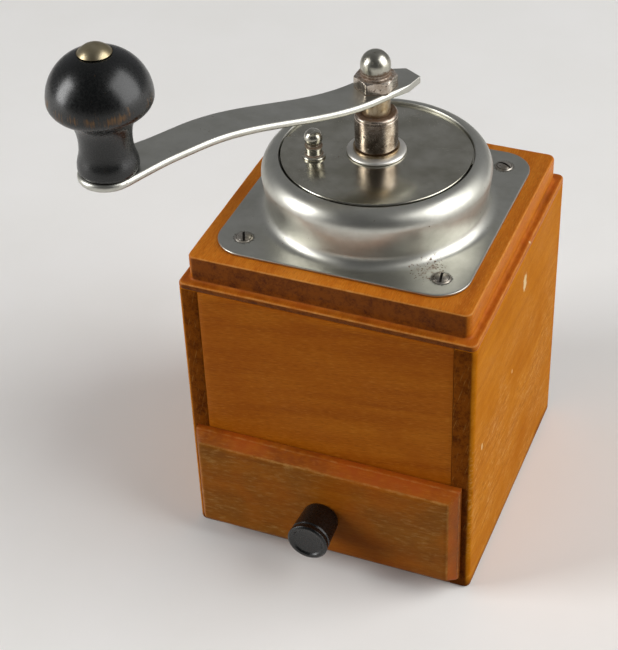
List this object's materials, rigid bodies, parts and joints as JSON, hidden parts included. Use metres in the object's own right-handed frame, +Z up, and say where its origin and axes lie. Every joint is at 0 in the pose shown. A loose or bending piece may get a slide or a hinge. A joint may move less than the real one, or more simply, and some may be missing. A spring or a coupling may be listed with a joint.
{
  "type": "manual coffee grinder",
  "caption": "Square wooden box mill with a drawer, a domed metal hopper with a turning half-moon lid, and an S-bent crank with a mushroom knob.",
  "frame": {"origin": "on the table under the middle of the box, in the underside of the base board", "axes": "+Z up along the spindle, -Y to the drawer's front, +X to the right seen from the drawer"},
  "size_m": [0.1307, 0.1717, 0.2412],
  "materials": {
    "beech": "amber varnish, worn at the edges",
    "drawer_wood": "bare, oiled by use",
    "nickel_plate": "satin nickel plate with pits and rust specks",
    "worn_steel": "bare steel, browned with age",
    "cast_iron": "as cast, oiled",
    "black_lacquer": "black lacquer on turned wood, rubbed to brown in places"
  },
  "bodies": {
    "mill_body": {"left_side_panel": "beech", "right_side_panel": "beech", "front_panel": "beech", "back_panel": "beech", "base_board": "beech", "top_board": "beech", "dome_housing": "nickel_plate", "dome_screws": "worn_steel", "bearing_deck": "nickel_plate", "deck_rivets": "worn_steel", "bearing_bush": "nickel_plate", "bush_nut": "worn_steel", "hopper_bowl": "cast_iron", "bowl_screws": "worn_steel", "outer_burr": "cast_iron", "bearing_bridge": "cast_iron", "bridge_screws": "worn_steel"},
    "drawer": {"drawer_front": "beech", "drawer_left_side": "drawer_wood", "drawer_right_side": "drawer_wood", "drawer_back": "drawer_wood", "drawer_floor": "drawer_wood", "drawer_knob": "black_lacquer", "drawer_knob_screw": "worn_steel"},
    "lid": {"filler_lid": "nickel_plate", "lid_knob": "nickel_plate"},
    "thrust_collar": {"thrust_washer": "worn_steel", "thrust_spring": "worn_steel"},
    "sleeve": {"adjusting_sleeve": "worn_steel"},
    "crank": {"spindle": "worn_steel", "spring_seat": "worn_steel", "spring_pin": "worn_steel", "inner_burr": "cast_iron", "burr_pin": "worn_steel", "crank_arm": "nickel_plate", "acorn_nut": "nickel_plate", "knob_pin": "nickel_plate"},
    "handle": {"crank_knob": "black_lacquer"}
  },
  "joints": [
    {"name": "drawer_slide", "type": "slide", "parent": "mill_body", "child": "drawer", "axis": [0, -1, 0], "range_m": [0, 0.09]},
    {"name": "lid_turn", "type": "hinge", "parent": "mill_body", "child": "lid", "pos_m": [0, 0, 0.1547], "axis": [0, 0, -1], "range_deg": [0, 170]},
    {"name": "crank_turn", "type": "hinge", "parent": "mill_body", "child": "thrust_collar", "pos_m": [0, 0, 0.157], "axis": [0, 0, 1], "continuous": true},
    {"name": "spindle_lift", "type": "slide", "parent": "thrust_collar", "child": "crank", "axis": [0, 0, 1], "range_m": [0, 0.0008], "deforming": ["thrust_spring"]},
    {"name": "sleeve_turn", "type": "hinge", "parent": "thrust_collar", "child": "sleeve", "pos_m": [0, 0, 0.158], "axis": [0, 0, 1], "range_deg": [0, 195]},
    {"name": "handle_spin", "type": "hinge", "parent": "crank", "child": "handle", "pos_m": [-0.056, -0.09699, 0.2], "axis": [0, 0, 1], "continuous": true}
  ],
  "couplings": [
    {"joint": "sleeve_turn", "follows": "spindle_lift", "rad_per_m": 4188.8}
  ]
}
